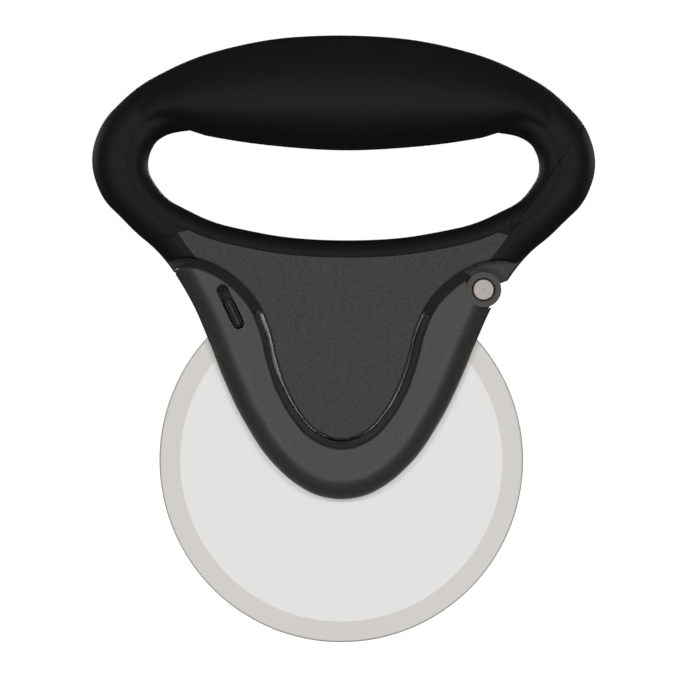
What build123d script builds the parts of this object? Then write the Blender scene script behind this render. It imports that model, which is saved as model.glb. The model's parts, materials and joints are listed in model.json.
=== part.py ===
from build123d import *
import math
import os

os.makedirs("parts", exist_ok=True)

# Driving dimensions, all lengths in millimetres

# The cutting wheel and its plain bearing
wheel_diameter = 101.6
wheel_radius = wheel_diameter / 2
axle_height = wheel_radius
wheel_thickness = 1.0
bevel_width = 5.8
edge_thickness = 0.3
axle_diameter = 4.0
axle_radius = axle_diameter / 2
axle_length = 13.0
hub_barrel_radius = 3.0
hub_flange_radius = 3.6
hub_half_width = 1.38

# The whole silhouette
overall_height = 169.4
half_loop = 70.2
half_plate = 9.0
edge_round = 6.6
opening_round = 4.6

# The finger opening
opening_bottom = 112.2
opening_height = 25.2
half_opening = 54.7

# The crown that fills the palm
crown_half_depth = 15.2
crown_lap = 2.2

# The blade channel and the joint between handle and guard
channel_half_width = 1.5
channel_clearance = 1.4
panel_gap = 2.2
rim_band = 4.9
lip_reach = 3.4
lip_half_width = 4.0
lip_rise = 2.4
lip_room = 0.6
edge_soft = 0.9

# The hinge
pin_x = 39.2
pin_z = 98.7
post_radius = 2.2
head_radius = 2.86
head_thickness = 1.3
spigot_radius = 1.2
spigot_length = 6.0
recess_radius = 3.35
eye_radius = 4.9
eye_proud = 0.25
ear_radius = 4.8
ear_web = 5.6
ear_half_width = 5.0
head_seat = 7.3

# The lock
slot_length = 13.5
slot_width = 3.4
slot_x = -31.15
slot_z = 93.4
slot_lean = 26.2
slider_length = 8.6
slider_inner_face = 2.0
slider_outer_face = 7.5
slider_bridge = 2.2
slider_travel = 4.2
rib_width = 1.1
rib_length = 7.8
rib_height = 1.1
bolt_width = 2.2
bolt_half_depth = 2.2
bolt_reach = 6.7
notch_reach = 9.6

# Named clearances
running_fit = 0.05
sliding_fit = 0.3
facing_gap = 0.3
seat_gap = 0.1
ear_clearance = 0.6
skeleton_cover = 4.4
skeleton_rim = 5.3
skeleton_half = 4.2
seam_drop = 1.0
far = 200.0

# Outline of the whole silhouette, tip to crown, as shares of half width and height
tip_share = 0.236
outline_shares = [
    (0.095, 0.2425),
    (0.177, 0.260),
    (0.273, 0.295),
    (0.391, 0.366),
    (0.474, 0.437),
    (0.525, 0.490),
    (0.602, 0.561),
    (0.716, 0.632),
    (0.854, 0.685),
    (0.966, 0.738),
    (1.0, 0.791),
    (0.969, 0.844),
    (0.863, 0.897),
    (0.655, 0.950),
    (0.376, 0.986),
]

# Finger opening, bottom to top, as shares of its half width and height
opening_shares = [
    (0.41, 0.07),
    (0.746, 0.27),
    (0.938, 0.54),
    (1.0, 0.82),
    (0.963, 1.07),
    (0.885, 1.2),
    (0.46, 1.15),
]

# Edge of the centre panel, tip to shoulder, as shares of half width and height
panel_tip_share = 0.334
panel_shares = [
    (0.104, 0.3495),
    (0.175, 0.383),
    (0.219, 0.4155),
    (0.262, 0.465),
    (0.292, 0.515),
    (0.348, 0.564),
    (0.402, 0.589),
    (0.483, 0.614),
    (0.556, 0.627),
    (0.637, 0.6305),
    (0.70, 0.626),
]

# Flank of the hard panel on the neck, same shares
neck_flank_shares = [(0.655, 0.672), (0.622, 0.652), (0.555, 0.618), (0.40, 0.56)]

# Cross section of the crown, across the bar and through its depth
crown_section_shares = [
    (1.0, 0.0),
    (0.80, 0.55),
    (0.28, 0.93),
    (-0.34, 1.0),
    (-0.80, 0.66),
    (-1.0, 0.0),
]

# Crown stations: outer point and inner point of the bar, then half depth, as shares
crown_shares = [
    ((0.0, 1.0), (0.0, 0.811), 1.0),
    ((0.342, 0.9875), (0.30, 0.8185), 0.97),
    ((0.627, 0.955), (0.541, 0.833), 0.85),
    ((0.824, 0.905), (0.700, 0.850), 0.66),
    ((0.93, 0.843), (0.80, 0.822), 0.50),
]

# Web that carries the ear, as shares of its reach from the pin
ear_shares = [(-0.66, 0.66), (-1.3, 1.15), (0.4, 1.75), (2.0, 1.75), (1.3, 0.5)]


def scaled(shares):
    return [(half_loop * across, overall_height * up) for across, up in shares]


# Half outline points worked out once and shared by every part that needs them
tip_point = (0, overall_height * tip_share)
crown_point = (0, overall_height)
outline_side = scaled(outline_shares)
opening_side = []
for across, up in opening_shares:
    opening_side.append((half_opening * across, opening_bottom + opening_height * up))
opening_low = (0, opening_bottom)
opening_high = (0, opening_bottom + opening_height + crown_lap)
panel_points = [(0, overall_height * panel_tip_share)] + scaled(panel_shares)
level = (1, 0)


def mirrored(points):
    return [(-across, up) for across, up in reversed(points)]


def closed_loop(low, side, high):
    return [low] + side + [high] + mirrored(side)


def tangent_at(before, here, after):
    """Direction at a point of the circle through it and its two neighbours."""
    reach_in = math.dist(before, here)
    reach_out = math.dist(here, after)
    across = (here[0] - before[0]) / reach_in ** 2 + (after[0] - here[0]) / reach_out ** 2
    up = (here[1] - before[1]) / reach_in ** 2 + (after[1] - here[1]) / reach_out ** 2
    length = math.hypot(across, up)
    return (across / length, up / length)


def loop_tangents(points):
    count = len(points)
    return [tangent_at(points[i - 1], points[i], points[(i + 1) % count]) for i in range(count)]


def line_tangents(points):
    inner = [tangent_at(*points[i - 1 : i + 2]) for i in range(1, len(points) - 1)]
    return [level] + inner + [level]


def beside(points, directions, distance):
    moved = []
    for (across, up), (run, rise) in zip(points, directions):
        moved.append((across + rise * distance, up - run * distance))
    return moved


def arcs_through(points, directions):
    """Two tangent arcs from each point to the next, so the line has no corner."""
    for here, there, out, into in zip(points, points[1:], directions, directions[1:]):
        step = Vector(there[0] - here[0], there[1] - here[1])
        leave, arrive = Vector(*out), Vector(*into)
        bend = 2 * (1 - leave.dot(arrive))
        drive = step.dot(leave + arrive)
        reach = (math.sqrt(drive ** 2 + bend * step.dot(step)) - drive) / bend
        first = Vector(*here) + leave * reach
        second = Vector(*there) - arrive * reach
        joint = (first + second) * 0.5
        TangentArc(here, (joint.X, joint.Y), tangent=leave)
        TangentArc((joint.X, joint.Y), there, tangent=second - first)


def arcs_round(points, directions):
    arcs_through(points + points[:1], directions + directions[:1])


outline_loop = closed_loop(tip_point, outline_side, crown_point)
outline_runs = loop_tangents(outline_loop)
opening_loop = closed_loop(opening_low, opening_side, opening_high)
opening_runs = loop_tangents(opening_loop)
panel_runs = line_tangents(panel_points)
guard_points = beside(panel_points, panel_runs, panel_gap)
skeleton_loop = beside(outline_loop, outline_runs, -skeleton_cover)
skeleton_hole_loop = beside(opening_loop, opening_runs, skeleton_rim)
neck_points = beside(opening_loop[:3], opening_runs[:3], rim_band)
neck_runs = opening_runs[:3]

# Envelope of the plate-like body, both faces rounded over
with BuildPart() as envelope:
    with BuildSketch(Plane.XZ):
        with BuildLine():
            arcs_round(outline_loop, outline_runs)
        make_face()
    extrude(amount=half_plate, both=True)
    face_edges = envelope.faces().filter_by(Axis.Y).edges()
    fillet(face_edges, radius=edge_round)

# The same plate with the finger opening, its rim rounded over
with BuildPart() as ring_plate:
    add(envelope.part)
    with BuildSketch(Plane.XZ):
        with BuildLine():
            arcs_round(opening_loop, opening_runs)
        make_face()
    extrude(amount=half_plate, both=True, mode=Mode.SUBTRACT)
    rim_edges = []
    for face in ring_plate.faces().filter_by(Axis.Y):
        for wire in face.inner_wires():
            rim_edges += wire.edges()
    fillet(rim_edges, radius=opening_round)

# Crown of the grip, one side drawn out through its stations and mirrored
lead_in = []
for (top_x, top_z), (under_x, under_z), depth in reversed(crown_shares[1:3]):
    lead_in.append(((-top_x, top_z), (-under_x, under_z), depth))
with BuildPart() as crown:
    for outer, inner, depth in lead_in + crown_shares:
        outer_x, outer_z = half_loop * outer[0], overall_height * outer[1]
        inner_x, inner_z = half_loop * inner[0], overall_height * inner[1]
        middle = Vector((outer_x + inner_x) / 2, 0, (outer_z + inner_z) / 2)
        across = Vector((outer_x - inner_x) / 2, 0, (outer_z - inner_z) / 2)
        half_depth = crown_half_depth * depth
        section = [(across.length * u, half_depth * v) for u, v in crown_section_shares]
        section += [(u, -v) for u, v in reversed(section[1:-1])]
        with BuildSketch(Plane(origin=middle, x_dir=across, z_dir=across.cross(Vector(0, 1, 0)))):
            with BuildLine():
                Spline(section, periodic=True)
            make_face()
    loft()
    with Locations((-far / 2, 0, overall_height)):
        Box(far, far, far, mode=Mode.SUBTRACT)
    mirror(about=Plane.YZ)

# Whole handle body before it is split into its pieces
with BuildPart() as handle_body:
    add(ring_plate.part)
    add(crown.part)

# Plan of the handle: everything above the edge of the centre panel, with the ear
with BuildPart() as handle_plan:
    with BuildSketch(Plane.XZ):
        with BuildLine():
            arcs_through(panel_points, panel_runs)
            Polyline(panel_points[-1], (far, panel_points[-1][1]), (far, far), (0, far))
            mirror(about=Plane.YZ)
        make_face()
    extrude(amount=far / 2, both=True)

with BuildPart() as ear:
    with BuildSketch(Plane.XZ):
        with Locations((pin_x, pin_z)):
            Circle(ear_radius)
        ear_corners = [(pin_x + ear_web * u, pin_z + ear_web * v) for u, v in ear_shares]
        Polygon(*ear_corners, (pin_x, pin_z), align=None)
    extrude(amount=ear_half_width, both=True)
    add(envelope.part, mode=Mode.INTERSECT)

# Hard panel region of the neck, and the hidden skeleton inside the soft grip
with BuildPart() as neck_plan:
    with BuildSketch(Plane.XZ):
        with BuildLine():
            arcs_through(neck_points, neck_runs)
            Polyline([neck_points[-1]] + scaled(neck_flank_shares) + [(0, 0)])
            mirror(about=Plane.YZ)
        make_face()
    extrude(amount=far / 2, both=True)

with BuildPart() as skeleton:
    with BuildSketch(Plane.XZ):
        with BuildLine():
            arcs_round(skeleton_loop, outline_runs)
        make_face()
        with BuildLine():
            arcs_round(skeleton_hole_loop, opening_runs)
        make_face(mode=Mode.SUBTRACT)
        with Locations((0, 0)):
            Rectangle(far, 2 * (opening_bottom - seam_drop), mode=Mode.SUBTRACT)
    extrude(amount=skeleton_half, both=True)

# Plan of the guard: everything below its own edge, with the round eye of its arm
with BuildPart() as guard_plan:
    with BuildSketch(Plane.XZ):
        with BuildLine():
            arcs_through(guard_points, panel_runs)
            Polyline(guard_points[-1], (far, guard_points[-1][1]), (far, -far), (0, -far))
            mirror(about=Plane.YZ)
        make_face()
    extrude(amount=far / 2, both=True)

# Lip of the handle that closes the gap beyond the wheel, and the groove that takes it
lip_line = beside(panel_points, panel_runs, lip_reach)
groove_line = beside(panel_points, panel_runs, lip_reach + lip_room)
lip_clear_radius = wheel_radius - bevel_width / 2


def shoulder_band(line, inner_radius, half_width):
    with BuildPart() as band:
        with BuildSketch(Plane.XZ):
            with BuildLine():
                arcs_through(line, panel_runs)
                Polyline(line[-1], (far, line[-1][1]), (far, far), (0, far), line[0])
            make_face()
            with Locations((0, axle_height)):
                Circle(inner_radius, mode=Mode.SUBTRACT)
        extrude(amount=half_width, both=True)
        mirror(about=Plane.YZ)
    return band.part


lip_body = shoulder_band(lip_line, lip_clear_radius, lip_half_width)
groove_body = shoulder_band(groove_line, lip_clear_radius - lip_room, lip_half_width + sliding_fit)

# Shared cutting tools for the blade channel, the slot and the hinge
front = Plane.XZ
slot_run = Vector(-math.sin(math.radians(slot_lean)), 0, math.cos(math.radians(slot_lean)))
slot_plane = Plane(origin=(slot_x, 0, slot_z), x_dir=slot_run, z_dir=(0, -1, 0))
channel_radius = wheel_radius + channel_clearance
slot_end = slot_length / 2

with BuildPart() as channel:
    with BuildSketch(front):
        with Locations((0, axle_height)):
            Circle(channel_radius)
    extrude(amount=channel_half_width, both=True)

with BuildPart() as bolt_notch:
    with BuildSketch(slot_plane):
        with Locations((slot_end - slot_width / 2 + notch_reach / 2, 0)):
            Rectangle(notch_reach, bolt_width + 2 * sliding_fit)
    extrude(amount=bolt_half_depth + sliding_fit, both=True)


def edges_along(part, line):
    """Edges of the front face that follow a line of the plan."""
    with BuildLine(Plane.XY) as guide:
        arcs_through(line, panel_runs)
    found = []
    for face in part.faces().filter_by(Axis.Y):
        if abs(face.center().Y + half_plate) < running_fit:
            for edge in face.edges():
                middle = edge @ 0.5
                if guide.line.distance_to(Vector(abs(middle.X), middle.Z)) < running_fit:
                    found.append(edge)
    return found


# Front half of space, used to halve the symmetrical mouldings
with BuildPart() as front_half:
    with Locations((0, -far / 2, far / 2)):
        Box(2 * far, far, 2 * far)

with BuildPart() as handle_front_half:
    add(handle_body.part)
    add(front_half.part, mode=Mode.INTERSECT)
    add(handle_plan.part, mode=Mode.INTERSECT)

with BuildPart() as lip:
    add(lip_body)
    with Locations((0, 0, panel_points[-1][1] + lip_rise)):
        Box(2 * far, far, 2 * far, align=(Align.CENTER, Align.CENTER, Align.MIN), mode=Mode.SUBTRACT)
    add(envelope.part, mode=Mode.INTERSECT)

# Hard core of the handle, moulded as two shells that meet on the middle plane
with BuildPart() as core_front_shell:
    add(handle_front_half.part)
    add(neck_plan.part, mode=Mode.INTERSECT)
    add(skeleton.part)
    add(lip.part)
    add(ear.part)
    add(front_half.part, mode=Mode.INTERSECT)
    add(channel.part, mode=Mode.SUBTRACT)
    add(bolt_notch.part, mode=Mode.SUBTRACT)
    with BuildSketch(front):
        with Locations((pin_x, pin_z)):
            Circle(post_radius)
    extrude(amount=half_plate, mode=Mode.SUBTRACT)
    fillet(edges_along(core_front_shell, panel_points), radius=edge_soft)
core_front_shell.part.label = "core_front_shell"

with BuildPart() as core_rear_shell:
    add(core_front_shell.part)
    mirror(about=Plane.XZ, mode=Mode.REPLACE)
core_rear_shell.part.label = "core_rear_shell"

# Soft grip moulded round the loop, the rim band and the rounded neck edges
with BuildPart() as grip_sleeve:
    add(handle_front_half.part)
    add(neck_plan.part, mode=Mode.SUBTRACT)
    add(ear.part, mode=Mode.SUBTRACT)
    add(lip.part, mode=Mode.SUBTRACT)
    add(skeleton.part, mode=Mode.SUBTRACT)
    mirror(about=Plane.XZ)
grip_sleeve.part.label = "grip_sleeve"

# Everything that is cut out of the guard, gathered before it is taken away
with BuildPart() as guard_cuts:
    add(channel.part)
    with BuildSketch(front):
        with Locations((pin_x, pin_z)):
            Circle(ear_radius + ear_clearance)
    extrude(amount=ear_half_width + facing_gap, both=True)
    with BuildSketch(front):
        with Locations((pin_x, pin_z)):
            Circle(post_radius + running_fit)
    extrude(amount=2 * half_plate, both=True)
    with BuildSketch(front.offset(head_seat)):
        with Locations((pin_x, pin_z)):
            Circle(recess_radius)
    extrude(amount=half_plate)
    with BuildSketch(front):
        with Locations((0, axle_height)):
            Circle(axle_radius)
    extrude(amount=axle_length / 2 + seat_gap, both=True)
    with BuildSketch(slot_plane):
        SlotOverall(slot_length, slot_width)
    extrude(amount=2 * half_plate, both=True)
    add(bolt_notch.part)

# Guard that carries the wheel, two shells with a channel between them
window = 2 * eye_radius
with BuildPart() as guard_front_shell:
    add(envelope.part)
    add(front_half.part, mode=Mode.INTERSECT)
    add(guard_plan.part, mode=Mode.INTERSECT)
    with Locations((pin_x - eye_radius + window, 0, pin_z - ear_clearance + window)):
        Box(2 * window, far, 2 * window, mode=Mode.SUBTRACT)
    with BuildSketch(front):
        with Locations((pin_x, pin_z)):
            Circle(eye_radius)
    extrude(amount=half_plate + eye_proud)
    add(guard_cuts.part, mode=Mode.SUBTRACT)
    add(groove_body, mode=Mode.SUBTRACT)
    fillet(edges_along(guard_front_shell, guard_points), radius=edge_soft)
guard_front_shell.part.label = "guard_front_shell"

with BuildPart() as guard_rear_shell:
    add(guard_front_shell.part)
    mirror(about=Plane.XZ, mode=Mode.REPLACE)
guard_rear_shell.part.label = "guard_rear_shell"

# Hinge rivet in two pieces, a headed post and a headed cap with a spigot
rivet_face = head_seat + seat_gap
with BuildPart() as hinge_post:
    with BuildSketch(front.offset(rivet_face)):
        with Locations((pin_x, pin_z)):
            Circle(head_radius)
    extrude(amount=head_thickness)
    with BuildSketch(front.offset(rivet_face)):
        with Locations((pin_x, pin_z)):
            Circle(post_radius)
    extrude(amount=-(2 * rivet_face - seat_gap))
    with BuildSketch(front.offset(seat_gap - rivet_face)):
        with Locations((pin_x, pin_z)):
            Circle(spigot_radius)
    extrude(amount=spigot_length, mode=Mode.SUBTRACT)
hinge_post.part.label = "hinge_post"

with BuildPart() as hinge_cap:
    with BuildSketch(front.offset(-rivet_face)):
        with Locations((pin_x, pin_z)):
            Circle(head_radius)
    extrude(amount=-head_thickness)
    with BuildSketch(front.offset(-rivet_face)):
        with Locations((pin_x, pin_z)):
            Circle(spigot_radius - running_fit)
    extrude(amount=spigot_length - seat_gap)
hinge_cap.part.label = "hinge_cap"

# Axle of the wheel, blind in the two guard shells
with BuildPart() as axle_pin:
    with BuildSketch(front):
        with Locations((0, axle_height)):
            Circle(axle_radius)
    extrude(amount=axle_length / 2, both=True)
    chamfer(axle_pin.edges().filter_by(GeomType.CIRCLE), length=sliding_fit)
axle_pin.part.label = "axle_pin"

# Cutting wheel, a disc ground to a double bevel
with BuildPart() as cutting_wheel:
    with BuildSketch(Plane.YZ):
        with BuildLine():
            Polyline(
                (-wheel_thickness / 2, axle_height + hub_barrel_radius),
                (wheel_thickness / 2, axle_height + hub_barrel_radius),
                (wheel_thickness / 2, axle_height + wheel_radius - bevel_width),
                (edge_thickness / 2, axle_height + wheel_radius),
                (-edge_thickness / 2, axle_height + wheel_radius),
                (-wheel_thickness / 2, axle_height + wheel_radius - bevel_width),
                close=True,
            )
        make_face()
    revolve(axis=Axis((0, 0, axle_height), (0, 1, 0)))
cutting_wheel.part.label = "cutting_wheel"

# Bearing of the wheel, two flanged half bushes that clip through the blade
with BuildPart() as hub_front:
    with BuildSketch(front.offset(wheel_thickness / 2)):
        with Locations((0, axle_height)):
            Circle(hub_flange_radius)
    extrude(amount=hub_half_width - wheel_thickness / 2)
    with BuildSketch(front):
        with Locations((0, axle_height)):
            Circle(hub_barrel_radius)
    extrude(amount=wheel_thickness / 2)
    with BuildSketch(front):
        with Locations((0, axle_height)):
            Circle(axle_radius + running_fit)
    extrude(amount=hub_half_width, mode=Mode.SUBTRACT)
hub_front.part.label = "hub_front"

with BuildPart() as hub_rear:
    add(hub_front.part)
    mirror(about=Plane.XZ, mode=Mode.REPLACE)
hub_rear.part.label = "hub_rear"

# Lock slider, two finger legs joined by a bridge that carries the bolt
leg_middle = slider_length / 2 + sliding_fit - slot_end
leg_top = leg_middle + slider_length / 2
with BuildPart() as lock_slider:
    with BuildSketch(slot_plane):
        with Locations((leg_middle, 0)):
            SlotOverall(slider_length, slot_width - 2 * sliding_fit)
    extrude(amount=slider_outer_face, both=True)
    with BuildSketch(slot_plane):
        with Locations((leg_middle, 0)):
            SlotOverall(rib_length, rib_width)
    extrude(amount=slider_outer_face + rib_height, both=True)
    with BuildSketch(slot_plane):
        with Locations((leg_middle - slider_bridge, 0)):
            Rectangle(slider_length, slot_width)
    extrude(amount=slider_inner_face, both=True, mode=Mode.SUBTRACT)
    with BuildSketch(slot_plane):
        with Locations((leg_top + bolt_reach / 2 - slider_bridge / 2, 0)):
            Rectangle(bolt_reach + slider_bridge, bolt_width)
    extrude(amount=bolt_half_depth, both=True)
lock_slider.part.label = "lock_slider"

pieces = [
    core_front_shell,
    core_rear_shell,
    grip_sleeve,
    guard_front_shell,
    guard_rear_shell,
    hinge_post,
    hinge_cap,
    axle_pin,
    cutting_wheel,
    hub_front,
    hub_rear,
    lock_slider,
]
for piece in pieces:
    export_step(piece.part, "parts/" + piece.part.label + ".step")
    box = piece.part.bounding_box()
    print(piece.part.label, len(piece.part.solids()), round(piece.part.volume), box.min, box.max)
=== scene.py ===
import json
import math

import bmesh
import bpy
import numpy as np
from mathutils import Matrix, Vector

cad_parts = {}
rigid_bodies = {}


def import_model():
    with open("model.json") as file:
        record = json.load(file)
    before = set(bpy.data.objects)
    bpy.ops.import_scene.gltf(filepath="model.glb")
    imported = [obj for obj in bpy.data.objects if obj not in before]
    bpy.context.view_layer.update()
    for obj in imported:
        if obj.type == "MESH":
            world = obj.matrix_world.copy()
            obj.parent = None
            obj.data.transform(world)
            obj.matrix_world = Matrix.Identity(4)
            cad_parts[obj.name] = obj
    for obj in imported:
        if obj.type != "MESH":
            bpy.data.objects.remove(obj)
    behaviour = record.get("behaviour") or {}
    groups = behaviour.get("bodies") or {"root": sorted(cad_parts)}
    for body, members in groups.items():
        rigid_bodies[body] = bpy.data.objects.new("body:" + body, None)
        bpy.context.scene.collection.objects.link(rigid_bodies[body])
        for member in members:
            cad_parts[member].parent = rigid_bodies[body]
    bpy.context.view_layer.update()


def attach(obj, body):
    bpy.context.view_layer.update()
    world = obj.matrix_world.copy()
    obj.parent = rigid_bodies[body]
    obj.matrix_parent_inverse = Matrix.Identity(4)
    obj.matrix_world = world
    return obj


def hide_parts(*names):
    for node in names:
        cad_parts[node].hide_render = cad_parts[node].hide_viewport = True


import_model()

# Photograph's view
# A long lens looks straight along +Y, rolled half a degree as the photograph is. Tones are shown
# as they are lit, without a film curve, so that the pale steel and the black rubber both hold.
view_width, view_distance = 0.19558, 1.7
view_across, view_height = 0.00219, 0.08164
view_roll = math.radians(-0.45)
film_width = 36.0
camera_data = bpy.data.cameras.new("camera")
camera = bpy.data.objects.new("camera", camera_data)
bpy.context.scene.collection.objects.link(camera)
camera_data.sensor_width = film_width
camera_data.lens = film_width * view_distance / view_width
camera.location = (view_across, -view_distance, view_height)
camera.rotation_euler = (math.pi / 2, view_roll, 0)
bpy.context.scene.camera = camera
bpy.context.scene.view_settings.view_transform = "Standard"

# Hard core of the handle
# Two mouldings in dense black nylon that meet on the middle plane and show as the flat centre
# panel. The mould was spark eroded, so the flat has a fine dull grain and a warm grey cast.
noise_detail = 3.0
darkest_noise, lightest_noise = 0.3, 0.7
# Painted shade: faces within this depth of the middle plane, deep in the gaps, are painted near black.
painted_shade_depth, painted_shade_fade = 0.0043, 0.0003
painted_shade_black = (0.003, 0.003, 0.003, 1)


def moulded(name, colour, rough, specular, grain, lift, mottle, painted_shade_within=0.0):
    """Moulded finish in which height and tone follow one fine noise in the piece's own space.

    Height is the noise times the lift, and tone is the colour, less and more its share of mottle.
    Faces nearer the middle plane than the shade depth are painted near black, as painted shade in the deep
    gaps.
    """
    made = bpy.data.materials.new(name)
    made.use_nodes = True
    nodes, links = made.node_tree.nodes, made.node_tree.links
    shader = nodes["Principled BSDF"]
    shader.inputs["Roughness"].default_value = rough
    shader.inputs["Specular IOR Level"].default_value = specular
    place = nodes.new("ShaderNodeTexCoord")
    fine = nodes.new("ShaderNodeTexNoise")
    fine.inputs["Scale"].default_value = grain
    fine.inputs["Detail"].default_value = noise_detail
    tone = nodes.new("ShaderNodeValToRGB")
    tone.color_ramp.elements[0].position = darkest_noise
    tone.color_ramp.elements[1].position = lightest_noise
    tone.color_ramp.elements[0].color = (*[part * (1 - mottle) for part in colour], 1)
    tone.color_ramp.elements[1].color = (*[part * (1 + mottle) for part in colour], 1)
    bump = nodes.new("ShaderNodeBump")
    bump.inputs["Strength"].default_value = 1.0
    bump.inputs["Distance"].default_value = lift
    links.new(place.outputs["Object"], fine.inputs["Vector"])
    links.new(fine.outputs["Fac"], tone.inputs["Fac"])
    links.new(fine.outputs["Fac"], bump.inputs["Height"])
    links.new(tone.outputs["Color"], shader.inputs["Base Color"])
    # Painted shade: the colour fades to near black nearer the middle plane, so the gaps between the parts
    # read dark.
    if painted_shade_within:
        split = nodes.new("ShaderNodeSeparateXYZ")
        deep = nodes.new("ShaderNodeMath")
        deep.operation = "ABSOLUTE"
        fade = nodes.new("ShaderNodeMapRange")
        fade.inputs["From Min"].default_value = painted_shade_within
        fade.inputs["From Max"].default_value = painted_shade_within + painted_shade_fade
        both = nodes.new("ShaderNodeMix")
        both.data_type = "RGBA"
        both.inputs["A"].default_value = painted_shade_black
        links.new(place.outputs["Object"], split.inputs["Vector"])
        links.new(split.outputs["Y"], deep.inputs[0])
        links.new(deep.outputs["Value"], fade.inputs["Value"])
        links.new(fade.outputs["Result"], both.inputs["Factor"])
        links.new(tone.outputs["Color"], both.inputs["B"])
        links.new(both.outputs["Result"], shader.inputs["Base Color"])
    links.new(bump.outputs["Normal"], shader.inputs["Normal"])
    return made


def finish_node(name, look):
    """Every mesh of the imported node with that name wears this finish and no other."""
    for piece in bpy.data.objects:
        if piece.type == "MESH" and piece.name.split(".")[0] == name:
            piece.data.materials.clear()
            piece.data.materials.append(look)


# Its faces near the middle plane take the painted shade, near black.
panel_plastic = moulded(
    "panel_plastic", colour=(0.05, 0.046, 0.045), rough=0.55, specular=0.4,
    grain=1700.0, lift=0.00004, mottle=0.34, painted_shade_within=painted_shade_depth,
)
finish_node("core_front_shell", panel_plastic)
finish_node("core_rear_shell", panel_plastic)

# Grip
# Soft black rubber moulded over the core, dull and faintly matt to hold in a wet hand. It is one
# skin from the rim of the finger opening out to the silhouette, worked out as a depth over the
# front view: the rounded plate, the rim band and the palm crown that rises out of it.
mm = 0.001
half_loop, overall_height, half_plate = 70.2, 169.4, 9.0
edge_round, opening_round, shoulder_round = 6.6, 4.6, 0.9
outline_shares = [
    (0.0, 0.236), (0.095, 0.2425), (0.177, 0.260), (0.273, 0.295), (0.391, 0.366), (0.474, 0.437),
    (0.525, 0.490), (0.602, 0.561), (0.716, 0.632), (0.854, 0.685), (0.966, 0.738), (1.0, 0.791),
    (0.969, 0.844), (0.863, 0.897), (0.655, 0.950), (0.376, 0.986), (0.0, 1.0),
]
half_opening, opening_bottom, opening_height = 54.7, 112.2, 25.2
opening_shares = [
    (0.0, 0.0), (0.41, 0.07), (0.746, 0.27), (0.938, 0.54), (1.0, 0.82), (0.963, 1.07), (0.885, 1.2),
    (0.46, 1.15), (0.0, 1.0873),
]
panel_shares = [
    (0.0, 0.334), (0.104, 0.3495), (0.175, 0.383), (0.219, 0.4155), (0.262, 0.465), (0.292, 0.515),
    (0.348, 0.564), (0.402, 0.589), (0.483, 0.614), (0.556, 0.627), (0.637, 0.6305), (0.70, 0.626),
]
flank_shares = [(0.655, 0.672), (0.622, 0.652), (0.555, 0.618), (0.40, 0.56)]
crown_outer_shares = [(0.0, 1.0), (0.342, 0.9875), (0.627, 0.955), (0.824, 0.905), (0.93, 0.843)]
crown_inner_shares = [(0.0, 0.811), (0.30, 0.8185), (0.541, 0.833), (0.700, 0.850), (0.80, 0.822)]
crown_depth_shares = [1.0, 0.97, 0.85, 0.66, 0.50]
crown_half_depth, crown_foot, crown_steps = 15.2, 136, 60
section_across_shares = [1.0, 0.80, 0.28, -0.34, -0.80, -1.0, -0.80, -0.34, 0.28, 0.80]
section_depth_shares = [0.0, 0.55, 0.93, 1.0, 0.66, 0.0, -0.66, -1.0, -0.93, -0.55]
section_steps = 40
rim_band, band_drop, band_run = 4.9, 0.12, 0.5
crease_depth, crease_inner_run, crease_outer_run = 0.42, 0.5, 0.7
crease_top, crease_fade = 152, 8
panel_sink, panel_slope, panel_foot = 0.35, 2, 90.0
on_the_line, off_the_crown, station_width = 0.05, 9, 0.5
blend_run, thinnest_skin = 0.35, 0.02


def circle_runs(points, closed):
    """Direction, at each point, of the circle through it and its two neighbours.

    It is the step in over its length squared, plus the step out over its length squared, made a
    unit long. The ends of an open line run level.
    """
    before, after = np.roll(points, 1, axis=0), np.roll(points, -1, axis=0)
    into = (points - before) / np.sum((points - before) ** 2, axis=1)[:, None]
    out = (after - points) / np.sum((after - points) ** 2, axis=1)[:, None]
    runs = into + out
    if not closed:
        runs[0] = runs[-1] = (1.0, 0.0)
    return runs / np.hypot(*runs.T)[:, None]


def arcs_through(points, closed, steps=12, runs=None):
    """Points along the pairs of tangent arcs that join the given points.

    Each pair has equal tangent lengths, found from the step and the two directions, and each arc
    is a rational curve of the second degree whose middle weight is the cosine of half its turn.
    """
    points = np.array(points, float)
    runs = circle_runs(points, closed) if runs is None else runs
    count = len(points) if closed else len(points) - 1
    found = []
    for i in range(count):
        here, there = points[i], points[(i + 1) % len(points)]
        leave, arrive = runs[i], runs[(i + 1) % len(points)]
        step = there - here
        bend = 2 * (1 - leave @ arrive)
        drive = step @ (leave + arrive)
        reach = (math.sqrt(drive ** 2 + bend * (step @ step)) - drive) / bend
        first, second = here + leave * reach, there - arrive * reach
        joint = (first + second) / 2
        for low, corner, high in ((here, first, joint), (joint, second, there)):
            turn = np.linspace(0, 1, steps, endpoint=False)[:, None]
            half = np.dot(corner - low, high - corner) / (reach * reach)
            weight = math.sqrt(max(0.0, (1 + half) / 2))
            blend = (1 - turn) ** 2 + 2 * weight * turn * (1 - turn) + turn ** 2
            mixed = (1 - turn) ** 2 * low + 2 * weight * turn * (1 - turn) * corner + turn ** 2 * high
            found.append(mixed / blend)
    if not closed:
        found.append(points[-1:])
    return np.vstack(found)


def whole(shares, width, base, height):
    """Closed loop from the shares of one side, bottom to top, and their mirror back down."""
    side = [(width * across, base + height * up) for across, up in shares]
    return np.array(side + [(-x, z) for x, z in reversed(side[1:-1])])


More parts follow.
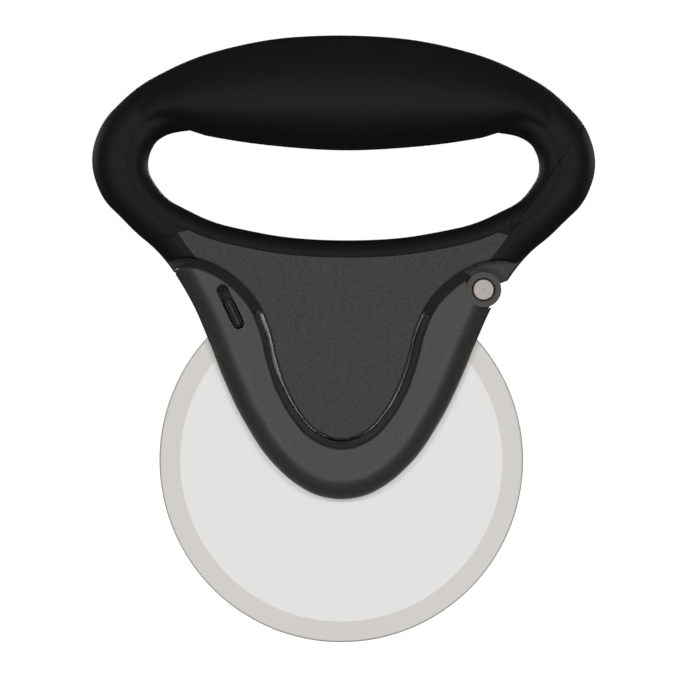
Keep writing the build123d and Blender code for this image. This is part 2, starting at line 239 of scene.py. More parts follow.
def away(points, line, closed=True):
    """Distance from each point to a line, and the side of it on which the point lies.

    The nearest place on each span is the point's share along it, kept from 0 to 1; the side is
    the sign of the cross product of the nearest span and the way from it to the point.
    """
    starts = line if closed else line[:-1]
    ends = np.roll(line, -1, axis=0) if closed else line[1:]
    spans = ends - starts
    shortest = 1e-12
    length = np.maximum(np.sum(spans ** 2, axis=1), shortest)
    best = np.full(len(points), np.inf)
    side = np.zeros(len(points))
    batch = 4000
    for low in range(0, len(points), batch):
        part = slice(low, low + batch)
        rel = points[part, None, :] - starts[None]
        along = np.clip(np.sum(rel * spans[None], axis=2) / length, 0, 1)
        miss = rel - along[..., None] * spans[None]
        gap = np.sum(miss ** 2, axis=2)
        pick = gap.argmin(axis=1)
        rows = np.arange(len(pick))
        best[part] = np.sqrt(gap[rows, pick])
        near_span, near_miss = spans[pick], miss[rows, pick]
        side[part] = np.sign(near_span[:, 0] * near_miss[:, 1] - near_span[:, 1] * near_miss[:, 0])
    return best, side


def rounded(gap, radius):
    """How far a rounded edge has dropped: the radius less the height of its quarter circle."""
    inside = np.clip(gap, 0, radius)
    return radius - np.sqrt(np.maximum(radius ** 2 - (radius - inside) ** 2, 0))


def even_curve(a, b, c, d, t):
    """Curve of the third degree from b to c; its slope at each is half the step past that point."""
    bowed, twisted = 2 * a - 5 * b + 4 * c - d, 3 * b - a - 3 * c + d
    return 0.5 * (2 * b + (c - a) * t + bowed * t ** 2 + twisted * t ** 3)


def smooth_between(values, count):
    """Even curve through a few values, level at the first of them."""
    values = np.array(values, float)
    mirrored = values[1:2] * (-1 if values[0] == 0 else 1)
    padded = np.concatenate([mirrored, values, 2 * values[-1:] - values[-2:-1]])
    turn = np.linspace(0, 1, count, endpoint=False)
    found = [even_curve(*padded[i:i + 4], turn) for i in range(len(values) - 1)]
    found.append(values[-1:])
    return np.concatenate(found)


outline = arcs_through(whole(outline_shares, half_loop, 0, overall_height), True)
opening_points = whole(opening_shares, half_opening, opening_bottom, opening_height)
plate_hole = arcs_through(opening_points, True)
shoulder = arcs_through([(half_loop * across, overall_height * up) for across, up in panel_shares], False)

# Edge of the hard panel, where the rubber laps round it: the rim of the opening set out by the band
rim_runs = circle_runs(opening_points, True)[:3]
panel_top = arcs_through(
    opening_points[:3] + rim_runs[:, ::-1] * [1, -1] * rim_band, False, runs=rim_runs,
)
flank = [(half_loop * across, overall_height * up) for across, up in flank_shares]
panel_side = np.vstack([panel_top, flank, [(0.0, panel_foot)]])
panel_edge = np.vstack([panel_side[::-1], (panel_side * [-1, 1])[1:-1]])

# Stations of the crown, drawn out evenly from the middle to the end of the palm rest
outer_x = smooth_between([half_loop * across for across, up in crown_outer_shares], crown_steps)
inner_x = smooth_between([half_loop * across for across, up in crown_inner_shares], crown_steps)
outer_z = smooth_between([overall_height * up for across, up in crown_outer_shares], crown_steps)
inner_z = smooth_between([overall_height * up for across, up in crown_inner_shares], crown_steps)
crown_depth = crown_half_depth * smooth_between(crown_depth_shares, crown_steps)

# Finger opening as it is seen: the hole in the plate, closed from above by the crown
seen_hole = plate_hole.copy()
under_crown = seen_hole[:, 1] > opening_bottom + opening_height
crown_line = np.interp(np.abs(seen_hole[under_crown, 0]), inner_x, inner_z)
seen_hole[under_crown, 1] = np.minimum(seen_hole[under_crown, 1], crown_line)

# Section of the crown, as its depth against the position across it
around = len(section_across_shares)
section_turn = np.linspace(0, 1, section_steps, endpoint=False)
section_across, section_depth = [], []
for i in range(around // 2):
    for source, kept in ((section_across_shares, section_across), (section_depth_shares, section_depth)):
        beyond_pair = source[(i + 1) % around], source[(i + 2) % around]
        kept.append(even_curve(source[i - 1], source[i], *beyond_pair, section_turn))
section_across = np.concatenate(section_across + [[-1.0]])
section_depth = np.concatenate(section_depth + [[0.0]])
order = np.argsort(section_across)
section_across, section_depth = section_across[order], np.maximum(section_depth[order], 0)


def plate_depth(points):
    """Half depth of the plate: its half thickness less what its edges, creases and seat take off.

    Both rims and the shoulder are quarter rounds. The crease beside the rim band dies off as the
    power of e of the distance to it, and the rubber sinks under the edge of the hard panel.
    """
    from_outline, outside = away(points, outline)
    from_hole, inside = away(points, plate_hole)
    from_shoulder = away(np.abs(points), shoulder, closed=False)[0]
    from_panel, beyond_panel = away(points, panel_edge)
    in_outline = (outside > 0) | (from_outline < on_the_line)
    off_hole = (inside < 0) | (from_hole < on_the_line)
    plate = half_plate - rounded(from_outline, edge_round) - rounded(from_hole, opening_round)
    fade = np.clip((crease_top - points[:, 1]) / crease_fade, 0, 1)
    inner_crease = np.exp((from_hole - rim_band) / crease_inner_run)
    outer_crease = np.exp((rim_band - from_hole) / crease_outer_run)
    crease = np.where(from_hole < rim_band, inner_crease, outer_crease)
    band = np.clip((rim_band - from_hole) / band_run, 0, 1)
    plate -= fade * (crease_depth * crease + band_drop * band)
    plate -= rounded(from_shoulder, shoulder_round)
    plate -= np.where(beyond_panel > 0, np.clip(from_panel * panel_slope, 0, panel_sink), 0)
    return np.where(in_outline & off_hole, plate, 0.0)


def crown_over(points):
    """Half depth of the palm crown: its section at the nearest station, times that station's depth."""
    across, up = np.abs(points[:, 0]), points[:, 1]
    crown = np.zeros(len(points))
    top = np.where(up > crown_foot)[0]
    middle_x, middle_z = (outer_x + inner_x) / 2, (outer_z + inner_z) / 2
    reach_x, reach_z = (outer_x - inner_x) / 2, (outer_z - inner_z) / 2
    reach = np.hypot(reach_x, reach_z)
    rel_x = across[top, None] - middle_x[None]
    rel_z = up[top, None] - middle_z[None]
    share = (rel_x * reach_x[None] + rel_z * reach_z[None]) / reach[None] ** 2
    off = np.abs(rel_x * reach_z[None] - rel_z * reach_x[None]) / reach[None]
    off = off + off_the_crown * (np.abs(share) > 1)
    station = off.argmin(axis=1)
    rows = np.arange(len(top))
    lift = np.interp(share[rows, station], section_across, section_depth) * crown_depth[station]
    crown[top] = np.where(off[rows, station] < station_width, lift, 0)
    return crown


def depth_over_plan(points):
    """Half depth of the grip: the greater of plate and crown, and a soft fillet where they meet."""
    plate, crown = plate_depth(points), crown_over(points)
    high, low = np.maximum(plate, crown), np.minimum(plate, crown)
    melt = np.where(low > station_width, np.clip(1 - (high - low) / blend_run, 0, 1), 0)
    return high + melt * melt * blend_run / 4


# Grid from the finger opening out to the silhouette, half of it drawn and half mirrored
outline_middle, rim_middle, rim_stretch = 134, 128.5, 2.2
shoulder_end, shoulder_last, shoulder_first = 48.9, 48.7, 37
corner = shoulder[np.abs(shoulder[:, 0] - shoulder_end).argmin()]
panel_corner, panel_lap, lap_middle = (36.5, 104.9), (34.0, 108.0), (0.0, 106.0)
under_edge = [panel_corner, panel_lap, (20.0, 107.6), lap_middle]
side = outline[(outline[:, 0] >= 0) & (outline[:, 1] > corner[1])]
side = side[np.argsort(-np.arctan2(side[:, 1] - outline_middle, side[:, 0]))]
along_shoulder = shoulder[(shoulder[:, 0] > shoulder_first) & (shoulder[:, 0] < shoulder_last)][::-1]
bound = np.vstack([side, corner[None], along_shoulder, np.array(under_edge)])
on_middle = -1e-6
rim = seen_hole[seen_hole[:, 0] >= on_middle]
rim = rim[np.argsort(-np.arctan2((rim[:, 1] - rim_middle) * rim_stretch, rim[:, 0]))]
bound_marks = [
    (0, overall_height), (43, 162.2), (58.5, 153.5), (half_loop, outline_middle), (60.5, 116.5),
    tuple(corner), panel_corner, panel_lap, lap_middle,
]
rim_marks = [
    (0, 137.4), (38, 141.1), (47, 142.2), (half_opening, 133), (52.0, 126.5),
    (49.0, 123.8), (43.0, 120.0), (41.0, 119.1), (0, opening_bottom),
]
rows_between = [70, 34, 50, 44, 30, 30, 6, 60]


def by_marks(line, marks, counts):
    """Even steps of length along a line, so many of them between each mark and the next."""
    at = [int(np.argmin(np.hypot(*(line - np.array(mark)).T))) for mark in marks]
    found = []
    for low, high, count in zip(at, at[1:], counts):
        part = line[low:high + 1]
        run = np.r_[0, np.cumsum(np.hypot(*np.diff(part, axis=0).T))]
        pick = np.linspace(0, run[-1], count, endpoint=False)
        found.append(np.c_[np.interp(pick, run, part[:, 0]), np.interp(pick, run, part[:, 1])])
    found.append(line[at[-1]][None])
    return np.vstack(found)


def mirrored_ring(half):
    """Closed ring from its right half: the half, and its mirror back to the first point."""
    return np.vstack([half, (half * [-1, 1])[-2:0:-1]])


def eased_along(values, pull, times):
    """Each row moved, by half its pull, to the mean of the rows on either side, over and over."""
    for again in range(times):
        beside = (np.roll(values, 1, axis=0) + np.roll(values, -1, axis=0)) / 2
        values = values + 0.5 * pull * (beside - values)
    return values


outer_ring = mirrored_ring(by_marks(bound, bound_marks, rows_between))
inner_ring = mirrored_ring(by_marks(rim, rim_marks, rows_between))
stations = len(outer_ring)

# Upper corners of the opening, eased where the crown runs into the loop
corner_rows, corner_columns = 22.0, 26.0
ring_easing, depth_rounds, depth_easing, across_easing = 260, 3, 30, 4
corner_station = sum(rows_between[:2])
from_corner = np.arange(stations)
from_mirror = np.abs(stations - from_corner - corner_station)
from_corner = np.minimum(np.abs(from_corner - corner_station), from_mirror)
near_corner = np.exp(-((from_corner / corner_rows) ** 4))
inner_ring = eased_along(inner_ring, near_corner[:, None], ring_easing)

# Columns across the skin, crowded towards both edges where it rounds
columns, crowded_share = 73, 0.75
shares_across = 0.5 - 0.5 * np.cos(np.linspace(0, math.pi, columns))
shares_across = crowded_share * shares_across + (1 - crowded_share) * np.linspace(0, 1, columns)
to_inner, to_outer = (1 - shares_across)[None, :, None], shares_across[None, :, None]
plan = inner_ring[:, None] * to_inner + outer_ring[:, None] * to_outer
depth = depth_over_plan(plan.reshape(-1, 2)).reshape(plan.shape[:2])
depth = np.maximum(depth, thinnest_skin)
corner_pull = near_corner[:, None] * np.exp(-((np.arange(columns) / corner_columns) ** 4))[None]
for again in range(depth_rounds):
    depth = eased_along(depth, corner_pull, depth_easing)
    depth[:, 1:-1] = eased_along(depth.T, corner_pull.T, across_easing).T[:, 1:-1]


def wall(start, end, rows):
    """Rows of points at even shares between one edge and another, without the edges."""
    return np.stack([start * (1 - t) + end * t for t in np.linspace(0, 1, rows + 2)[1:-1]], axis=1)


def add_piece(name, points, faces, look, smooth=False):
    """New piece: its points in millimetres, made metres, and the faces that join them."""
    mesh = bpy.data.meshes.new(name)
    mesh.from_pydata((points.reshape(-1, 3) * mm).tolist(), [], faces)
    if smooth:
        mesh.polygons.foreach_set("use_smooth", [True] * len(faces))
    piece = bpy.data.objects.new(name, mesh)
    bpy.context.scene.collection.objects.link(piece)
    mesh.materials.append(look)
    return piece


wall_rows = 5
front = np.dstack([plan[..., 0], -depth, plan[..., 1]])
rear = np.dstack([plan[..., 0], depth, plan[..., 1]])
outer_wall = wall(front[:, -1], rear[:, -1], wall_rows)
inner_wall = wall(rear[:, 0], front[:, 0], wall_rows)
tube = np.concatenate([front, outer_wall, rear[:, ::-1], inner_wall], axis=1)
index = np.arange(stations * tube.shape[1]).reshape(stations, tube.shape[1])
ahead, beside = np.roll(index, -1, axis=0), np.roll(index, -1, axis=1)
quads = np.stack([index, beside, np.roll(ahead, -1, axis=1), ahead], axis=-1).reshape(-1, 4)
soft_rubber = moulded(
    "soft_rubber", colour=(0.0085, 0.008, 0.0078), rough=0.62, specular=0.22,
    grain=1100.0, lift=0.000015, mottle=0.18,
)
grip_skin = add_piece("grip_skin", tube, quads.tolist(), soft_rubber, smooth=True)
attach(grip_skin, "handle")
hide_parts("grip_sleeve")

# Guard
# Two mouldings in the same nylon with a smoother skin, drawn down to a round tip. They carry the
# axle between them and end in the round eye of the hinge.
# Its faces near the middle plane take the painted shade, near black; the ledge and the slot rim lie wholly
# within it.
guard_plastic = moulded(
    "guard_plastic", colour=(0.048, 0.045, 0.0435), rough=0.45, specular=0.6,
    grain=1300.0, lift=0.00002, mottle=0.24, painted_shade_within=painted_shade_depth,
)
finish_node("guard_front_shell", guard_plastic)
finish_node("guard_rear_shell", guard_plastic)

# Ledge of the guard
# A step inside the gap that runs round the tongue and keeps crumbs off the blade. It is part of
# each guard moulding, leaves a fine slit along the handle's edge, and stands back on the left,
# where it passes the tongue as the guard swings out.
ledge_near, ledge_far, ledge_out, ledge_in = 0.8, 2.3, 3.6, 1.65
ledge_reach, axle_height = 47.2, 50.8
ledge_break, ledge_break_share = 0.2, 0.12
tip_top, tip_run, swing_foot, swing_run = 68, 6, 71, 5
swing_share, near_share, tip_share = 0.36, 0.12, 0.2
panel_points = np.array([(half_loop * across, overall_height * up) for across, up in panel_shares])
panel_runs = circle_runs(panel_points, False)
aside = panel_runs[:, ::-1] * [1, -1]
near_line = arcs_through(panel_points + aside * ledge_near, False, runs=panel_runs)
far_line = arcs_through(panel_points + aside * ledge_far, False, runs=panel_runs)
within_reach = np.hypot(far_line[:, 0], far_line[:, 1] - axle_height) < ledge_reach
near_line, far_line = near_line[within_reach], far_line[within_reach]
near_line = np.vstack([(near_line * [-1, 1])[:0:-1], near_line])
far_line = np.vstack([(far_line * [-1, 1])[:0:-1], far_line])
toward_tip = np.clip((tip_top - near_line[:, 1]) / tip_run, 0, 1)[:, None]
swing_side = (np.clip((near_line[:, 1] - swing_foot) / swing_run, 0, 1) * (near_line[:, 0] < 0))[:, None]
set_back = swing_share * swing_side - near_share - tip_share * toward_tip
near_line = near_line + (far_line - near_line) * set_back
broken_line = near_line + (far_line - near_line) * ledge_break_share
ledge_section = [
    (near_line, ledge_in), (near_line, ledge_out - ledge_break), (broken_line, ledge_out),
    (far_line, ledge_out), (far_line, ledge_in),
]
for side, name in ((-1, "ledge_front"), (1, "ledge_rear")):
    edges = [np.c_[line[:, 0], np.full(len(line), side * deep), line[:, 1]] for line, deep in ledge_section]
    rows = np.stack(edges, axis=1)
    index = np.arange(rows.shape[0] * rows.shape[1]).reshape(rows.shape[:2])
    beside = np.roll(index, -1, axis=1)
    quads = np.stack([index[:-1], beside[:-1], beside[1:], index[1:]], axis=-1).reshape(-1, 4)
    caps = [index[0].tolist(), index[-1][::-1].tolist()]
    if side < 0:
        quads, caps = quads[:, ::-1], [cap[::-1] for cap in caps]
    ledge = add_piece(name, rows, quads.tolist() + caps, guard_plastic)
    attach(ledge, "guard")

# Lock
# One small moulding that slides in the slot: a leg with a thumb rib on each face, and the bolt
# that joins them and runs up into the handle.
lock_plastic = moulded(
    "lock_plastic", colour=(0.03, 0.029, 0.028), rough=0.4, specular=0.4,
    grain=1300.0, lift=0.00001, mottle=0.2,
)
slot_middle, slot_lean = (-31.15, 93.4), math.radians(26.2)
slot_run = np.array([-math.sin(slot_lean), math.cos(slot_lean)])
slot_side = np.array([math.cos(slot_lean), math.sin(slot_lean)])
leg_at, leg_long, leg_wide, leg_inner, leg_face = -2.15, 8.6, 2.8, 2.0, 5.2
leg_round, leg_break, leg_start = 0.3, 0.1, 0.08
rib_long, rib_wide, rib_face, rib_root = 7.0, 0.9, 8.1, 0.4
rib_round, rib_break, rib_start = 0.25, 0.07, 0.2
bolt_low, bolt_high, bolt_wide, bolt_deep = -0.05, 8.3, 2.2, 2.2
bolt_break, bolt_corner = 0.15, 0.2


def capsule(long, wide, shrink, count=20):
    """Round-ended outline: half circles of half the width, less the shrink, at both ends."""
    radius = wide / 2
    turn = np.linspace(0, math.pi, count)
    along = long / 2 - radius + (radius - shrink) * np.sin(turn)
    top = np.c_[along, (radius - shrink) * np.cos(turn)]
    return np.vstack([top, -top])


def oblong(long, wide, shrink):
    """Rectangle, less the shrink all round, with its four corners cut across."""
    a, b, cut = long / 2 - shrink, wide / 2 - shrink, bolt_corner
    top = np.array([(a, b - cut), (a - cut, b), (cut - a, b), (-a, b - cut)])
    return np.vstack([top, -top])


def stacked(levels, middle):
    """Rings of points: each outline stands at its depth, moved along the slot and leant with it."""
    rings = []
    for deep, flat in levels:
        spot = np.array(slot_middle) + (flat[:, :1] + middle) * slot_run + flat[:, 1:] * slot_side
        rings.append(np.c_[spot[:, 0], np.full(len(spot), deep), spot[:, 1]])
    return np.array(rings)


def add_shells(name, shells, look):
    """Piece of several closed shells, each a stack of rings with a cap at both ends."""
    points, faces = [], []
    for rings in shells:
        count, size = rings.shape[:2]
        index = np.arange(count * size).reshape(count, size) + sum(len(part) for part in points)
        beside = np.roll(index, -1, axis=1)
        quads = np.stack([index[:-1], index[1:], beside[1:], beside[:-1]], axis=-1)
        faces += quads.reshape(-1, 4).tolist() + [index[0].tolist(), index[-1][::-1].tolist()]
        points.append(rings.reshape(-1, 3))
    piece = add_piece(name, np.vstack(points), faces, look)
    turned_out = bmesh.new()
    turned_out.from_mesh(piece.data)
    bmesh.ops.recalc_face_normals(turned_out, faces=turned_out.faces)
    turned_out.to_mesh(piece.data)
    turned_out.free()
    return piece


leg, leg_soft, leg_top = [capsule(leg_long, leg_wide, shrink) for shrink in (0.0, leg_break, leg_round)]
rib, rib_soft, rib_top = [capsule(rib_long, rib_wide, shrink) for shrink in (0.0, rib_break, rib_start)]
lock_shells = []
for side in (-1, 1):
    leg_levels = [
        (side * leg_inner, leg), (side * (leg_face - leg_round), leg),
        (side * (leg_face - leg_start), leg_soft), (side * leg_face, leg_top),
    ]
    rib_levels = [
        (side * (leg_face - rib_root), rib), (side * (rib_face - rib_round), rib),
        (side * (rib_face - rib_break), rib_soft), (side * rib_face, rib_top),
    ]
    lock_shells.append(stacked(leg_levels, leg_at))
    lock_shells.append(stacked(rib_levels, leg_at))
bolt = oblong(bolt_high - bolt_low, bolt_wide, 0.0)
bolt_end = oblong(bolt_high - bolt_low, bolt_wide, bolt_break)
bolt_levels = [
    (-bolt_deep, bolt_end), (bolt_break - bolt_deep, bolt),
    (bolt_deep - bolt_break, bolt), (bolt_deep, bolt_end),
]
lock_shells.append(stacked(bolt_levels, (bolt_low + bolt_high) / 2))
lock_piece = add_shells("lock_piece", lock_shells, lock_plastic)
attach(lock_piece, "lock")
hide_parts("lock_slider")

# Slot rim
# A narrow step inside the slot on both sides of the bolt, moulded with the guard. Where the
# blade's edge passes, it keeps clear of the blade.
rim_inner, rim_outer, rim_deep = 1.14, 1.75, 1.9
rim_spans = [(6.4, -1.4, 0.02), (-1.3, -3.6, 0.45)]
rim_shells = []
for side in (-1, 1):
    for upper, lower, nearest in rim_spans:
        strip = np.array([(upper, rim_inner), (upper, rim_outer), (lower, rim_outer), (lower, rim_inner)])
        strip = strip * (1, side)
        for face in (-1, 1):
            rim_shells.append(stacked([(face * nearest, strip), (face * rim_deep, strip)], 0))
slot_rim = add_shells("slot_rim", rim_shells, guard_plastic)
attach(slot_rim, "guard")

# Cutting wheel
# A flat satin disc of hardened steel with a ground bevel to a fine edge on both faces. It is
# stamped, ground and then brushed round its centre, and the bevel is a little darker than the flat.
wheel_radius, bevel_width = 50.8, 5.8
axle_place = (0, axle_height)
hub_radius, half_blade, half_edge = 3.0, 0.5, 0.15
bore_break, edge_break, edge_land = 0.08, 0.05, 0.06
flat_start, grind_line, grind_blend = 4, 0.12, 0.15
flat_steps, bevel_steps, blade_segments = 18, 12, 360
grind = wheel_radius - bevel_width
ring_detail, ring_shade = 3.0, 0.97
bevel_shade = (0.84, 0.83, 0.81, 1)


def turned(name, profile, place, segments, look, body, node):
    """Ring of points for each profile pair, radius and depth, round a front to back axis.

    X is the place plus the radius times the cosine of the turn, Z the same with the sine, and Y
    is the depth. The last ring joins the first, so that the skin is closed.
    """
    profile = np.array(profile, float)
    turn = np.linspace(0, 2 * math.pi, segments, endpoint=False)
    rings = np.zeros((len(profile), segments, 3))
    rings[..., 0] = place[0] + profile[:, :1] * np.cos(turn)
    rings[..., 1] = profile[:, 1:2]
    rings[..., 2] = place[1] + profile[:, :1] * np.sin(turn)
    index = np.arange(len(profile) * segments).reshape(len(profile), segments)
    ahead = np.roll(index, -1, axis=0)
    quads = np.stack([index, ahead, np.roll(ahead, -1, axis=1), np.roll(index, -1, axis=1)], axis=-1)
    piece = add_piece(name, rings, quads.reshape(-1, 4).tolist(), look, smooth=True)
    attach(piece, body)
    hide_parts(node)


def metal(name, colour, rough, place, fine, lift):
    """Steel turned or ground about a front to back axis: height and tone follow a noise of the radius.

    The radius is the length of the place in X and Z less the axis, and depth plays no part.
    """
    made = bpy.data.materials.new(name)
    made.use_nodes = True
    nodes, links = made.node_tree.nodes, made.node_tree.links
    shader = nodes["Principled BSDF"]
    shader.inputs["Metallic"].default_value = 1.0
    shader.inputs["Roughness"].default_value = rough
    where = nodes.new("ShaderNodeTexCoord")
    centre = nodes.new("ShaderNodeMapping")
    centre.inputs["Location"].default_value = (-place[0] * mm, 0, -place[1] * mm)
    flat = nodes.new("ShaderNodeVectorMath")
    flat.operation = "MULTIPLY"
    flat.inputs[1].default_value = (1, 0, 1)
    radius = nodes.new("ShaderNodeVectorMath")
    radius.name = "radius"
    radius.operation = "LENGTH"
    rings = nodes.new("ShaderNodeTexNoise")
    rings.noise_dimensions = "1D"
    rings.inputs["Scale"].default_value = fine
    rings.inputs["Detail"].default_value = ring_detail
    bump = nodes.new("ShaderNodeBump")
    bump.inputs["Distance"].default_value = lift
    tone = nodes.new("ShaderNodeValToRGB")
    tone.name = "tone"
    tone.color_ramp.elements[0].color = (*[part * ring_shade for part in colour], 1)
    tone.color_ramp.elements[1].color = (*colour, 1)
    links.new(where.outputs["Object"], centre.inputs["Vector"])
    links.new(centre.outputs["Vector"], flat.inputs[0])
    links.new(flat.outputs["Vector"], radius.inputs[0])
    links.new(radius.outputs["Value"], rings.inputs["W"])
    links.new(rings.outputs["Fac"], bump.inputs["Height"])
    links.new(rings.outputs["Fac"], tone.inputs["Fac"])
    links.new(tone.outputs["Color"], shader.inputs["Base Color"])
    links.new(bump.outputs["Normal"], shader.inputs["Normal"])
    return made


blade_steel = metal(
    "blade_steel", colour=(0.745, 0.735, 0.722), rough=0.5, place=axle_place,
    fine=4000.0, lift=0.000002,
)
blade_nodes, blade_links = blade_steel.node_tree.nodes, blade_steel.node_tree.links
ground = blade_nodes.new("ShaderNodeMapRange")
ground.inputs["From Min"].default_value = (grind - grind_blend) * mm
ground.inputs["From Max"].default_value = (grind + grind_blend) * mm
shade = blade_nodes.new("ShaderNodeMix")
shade.data_type = "RGBA"
shade.blend_type = "MULTIPLY"
shade.inputs["B"].default_value = bevel_shade
blade_links.new(blade_nodes["radius"].outputs["Value"], ground.inputs["Value"])
blade_links.new(ground.outputs["Result"], shade.inputs["Factor"])
blade_links.new(blade_nodes["tone"].outputs["Color"], shade.inputs["A"])
blade_links.new(shade.outputs["Result"], blade_nodes["Principled BSDF"].inputs["Base Color"])

flat_rings = np.linspace(flat_start, grind - grind_line, flat_steps)
bevel_rings = np.linspace(grind, wheel_radius - edge_land, bevel_steps)
bevel_depths = half_blade - (half_blade - half_edge) * (bevel_rings - grind) / bevel_width
one_side = np.vstack([
    [(hub_radius, half_blade - bore_break), (hub_radius + bore_break, half_blade)],
    np.c_[flat_rings, np.full(len(flat_rings), half_blade)],
    np.c_[bevel_rings, bevel_depths],
    [(wheel_radius, half_edge - edge_break)],
])
blade_profile = np.vstack([one_side * (1, -1), one_side[::-1]])
turned(
    "blade_disc", blade_profile, axle_place, blade_segments, blade_steel,
    "wheel", "cutting_wheel",
)

# Wheel bearing
# Two flanged half bushes in a slippery black plastic, pushed into the blade from both faces
# until they meet on the middle plane. Their flanges keep the blade off the guard.
bearing_plastic = moulded(
    "bearing_plastic", colour=(0.05, 0.05, 0.05), rough=0.4, specular=0.5,
    grain=900.0, lift=0.00001, mottle=0.1,
)
bush_bore, flange_radius, flange_face = 2.05, 3.6, 1.38
bush_ease, bush_segments, longest_ease_share = 0.12, 96, 0.45
bush = [
    (bush_bore, -flange_face), (flange_radius, -flange_face), (flange_radius, -half_blade),
    (hub_radius, -half_blade), (hub_radius, 0.0), (bush_bore, 0.0),
]


def eased(corners, ease, steps=5):
    """Profile with each corner taken off: a curve of the second degree from side to side of it."""
    found = []
    turn = np.linspace(0, 1, steps)[:, None]
    for i in range(len(corners)):
        here, before = np.array(corners[i], float), np.array(corners[i - 1], float)
        after = np.array(corners[(i + 1) % len(corners)], float)
        into, out = before - here, after - here
        back, onward = np.hypot(*into), np.hypot(*out)
        reach = min(ease, longest_ease_share * back, longest_ease_share * onward)
        low, high = here + into / back * reach, here + out / onward * reach
        found.append((1 - turn) ** 2 * low + 2 * turn * (1 - turn) * here + turn ** 2 * high)
    return np.vstack(found)


front_bush = eased(bush, bush_ease)
rear_bush = (front_bush * (1, -1))[::-1]
bushes = [("bush_front", front_bush, "hub_front"), ("bush_rear", rear_bush, "hub_rear")]
for name, profile, node in bushes:
    turned(name, profile, axle_place, bush_segments, bearing_plastic, "wheel", node)

# Hinge rivet
# A headed post and a headed cap in plain steel, pressed together through the eyes of the guard
# and the ear of the handle. The faces are turned, with a faint dish and an eased rim.
pin_place = (39.2, 98.7)
rivet_ease, rivet_segments = 0.22, 128
rivet_steel = metal(
    "rivet_steel", colour=(0.41, 0.375, 0.355), rough=0.45, place=pin_place,
    fine=5200.0, lift=0.000004,
)
near_axis, head_radius, head_seat, head_rim = 0.02, 2.86, 7.4, 8.7
dish_radius, dish_face, dish_middle = 1.6, 8.64, 8.62
shank_radius, shank_end = 2.2, 7.3
bore_radius, bore_end, spigot_radius, spigot_end = 1.2, 1.3, 1.15, 1.5
post = [
    (near_axis, -dish_middle), (dish_radius, -dish_face), (head_radius, -head_rim),
    (head_radius, -head_seat), (shank_radius, -head_seat), (shank_radius, shank_end),
    (bore_radius, shank_end), (bore_radius, bore_end), (near_axis, bore_end),
]
cap = [
    (near_axis, spigot_end), (spigot_radius, spigot_end), (spigot_radius, head_seat),
    (head_radius, head_seat), (head_radius, head_rim), (dish_radius, dish_face), (near_axis, dish_middle),
]
for name, profile, node in (("rivet_post", post, "hinge_post"), ("rivet_cap", cap, "hinge_cap")):
    rivet_profile = eased(profile, rivet_ease)
    turned(name, rivet_profile, pin_place, rivet_segments, rivet_steel, "handle", node)

# Axle
# A plain ground steel pin with eased ends. It is pressed into blind holes in both guard shells
# before they close, and the bushes turn on it.
axle_steel = metal(
    "axle_steel", colour=(0.8, 0.8, 0.8), rough=0.3, place=axle_place,
    fine=5200.0, lift=0.000002,
)
axle_end, axle_radius, axle_ease, axle_segments = 6.5, 2.0, 0.3, 96
axle = [
    (near_axis, -axle_end), (axle_radius, -axle_end),
    (axle_radius, axle_end), (near_axis, axle_end),
]
axle_profile = eased(axle, axle_ease)
turned("axle_bar", axle_profile, axle_place, axle_segments, axle_steel, "guard", "axle_pin")

# Studio
# A pale paper sweep runs under and behind the object. It shows to the camera and lights nothing,
# so the gaps stay dark. Four soft boxes stand in front, two behind, two aside and one above.
floor_front, floor_run, cove_radius, sweep_back, wall_run, half_sweep = -2.2, 4.6, 0.6, 3.0, 3.4, 3.0
floor_share, cove_share, sweep_steps = 0.4, 0.6, 48
turn = np.arange(sweep_steps + 1) / sweep_steps
bend = (turn - floor_share) / (cove_share - floor_share) * math.pi / 2
on_floor, in_cove = turn < floor_share, turn < cove_share
floor_depth = floor_front + floor_run * turn / floor_share
cove_depth = sweep_back - cove_radius + cove_radius * np.sin(bend)
wall_height = cove_radius + wall_run * (turn - cove_share) / (1 - cove_share)
sweep_depth = np.where(on_floor, floor_depth, np.where(in_cove, cove_depth, sweep_back))
sweep_height = np.where(in_cove, cove_radius - cove_radius * np.cos(bend), wall_height)
sweep_height = np.where(on_floor, 0.0, sweep_height)
edges = [np.c_[np.full(len(turn), half), sweep_depth, sweep_height] for half in (-half_sweep, half_sweep)]
sweep_points = np.stack(edges, axis=1)
index = np.arange(2 * len(turn)).reshape(len(turn), 2)
sweep_faces = np.c_[index[:-1], index[1:, ::-1]].tolist()
sweep_mesh = bpy.data.meshes.new("sweep")
sweep_mesh.from_pydata(sweep_points.reshape(-1, 3).tolist(), [], sweep_faces)
sweep_mesh.polygons.foreach_set("use_smooth", [True] * len(sweep_faces))
sweep = bpy.data.objects.new("sweep", sweep_mesh)
bpy.context.scene.collection.objects.link(sweep)
paper_glow, room_glow, backdrop_glow = 0.93, 0.06, 1.05
paper = moulded(
    "paper", colour=(0.5, 0.5, 0.5), rough=0.3, specular=0.3,
    grain=60.0, lift=0.00001, mottle=0.01,
)
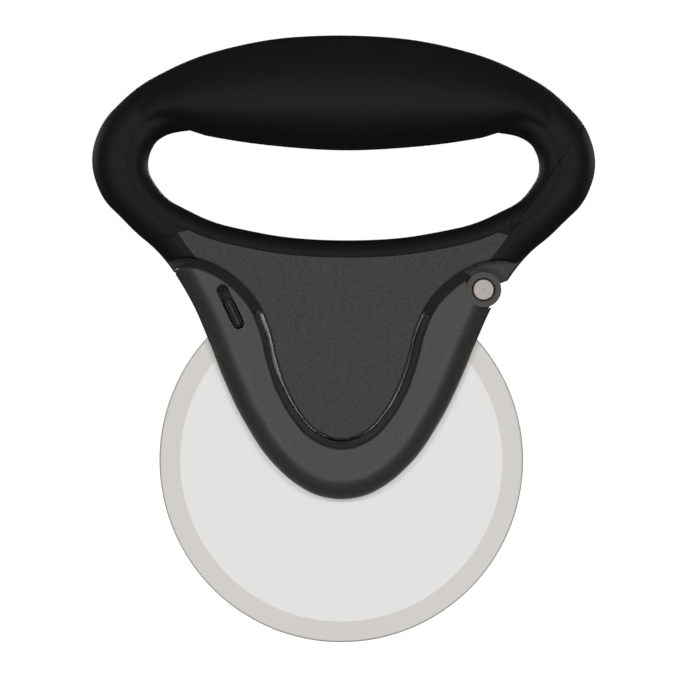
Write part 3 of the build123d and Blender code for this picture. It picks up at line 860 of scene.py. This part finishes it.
paper.node_tree.nodes["Principled BSDF"].inputs["Emission Color"].default_value = (1, 1, 1, 1)
paper.node_tree.nodes["Principled BSDF"].inputs["Emission Strength"].default_value = paper_glow
sweep.data.materials.append(paper)
sweep.visible_diffuse = False
sweep.visible_glossy = False
sweep.visible_shadow = False

world = bpy.data.worlds.new("world")
bpy.context.scene.world = world
world.use_nodes = True
room_nodes, room_links = world.node_tree.nodes, world.node_tree.links
room_nodes["Background"].inputs["Color"].default_value = (1, 1, 1, 1)
seen = room_nodes.new("ShaderNodeLightPath")
level = room_nodes.new("ShaderNodeMapRange")
level.inputs["To Min"].default_value = room_glow
level.inputs["To Max"].default_value = backdrop_glow
room_links.new(seen.outputs["Is Camera Ray"], level.inputs["Value"])
room_links.new(level.outputs["Result"], room_nodes["Background"].inputs["Strength"])


def soft_light(name, place, aim, width, height, power):
    """Soft box of a width and height in metres: its -Z runs from its place to the aim, Y is up."""
    data = bpy.data.lights.new(name, "AREA")
    data.shape = "RECTANGLE"
    data.size, data.size_y = width, height
    data.energy = power
    lamp = bpy.data.objects.new(name, data)
    bpy.context.scene.collection.objects.link(lamp)
    lamp.location = place
    aim_run = Vector(aim) - Vector(place)
    lamp.rotation_euler = aim_run.to_track_quat("-Z", "Y").to_euler()
    lamp.visible_camera = False


box_aim, top_aim = (0, 0, 0.09), (0, 0, 0.08)
box_aside, box_away, box_size, back_height = 0.63, 2.2, 0.5, 0.72
side_aside, side_away, side_height, side_size = 1.8, 1.2, 0.5, 0.6
top_place, top_width, top_length = (0.0, -0.4, 2.2), 1.6, 1.2
for side in (-1, 1):
    for rise in (-1, 1):
        front_place = (box_aside * side, -box_away, box_aim[2] + box_aside * rise)
        soft_light("front_box", front_place, box_aim, box_size, box_size, power=7.8)
    back_place = (box_aside * side, box_away, back_height)
    side_place = (side_aside * side, side_away, side_height)
    soft_light("back_box", back_place, box_aim, box_size, box_size, power=10.0)
    soft_light("side_box", side_place, box_aim, side_size, side_size, power=9.0)
soft_light("top_fill", top_place, top_aim, top_width, top_length, power=2)
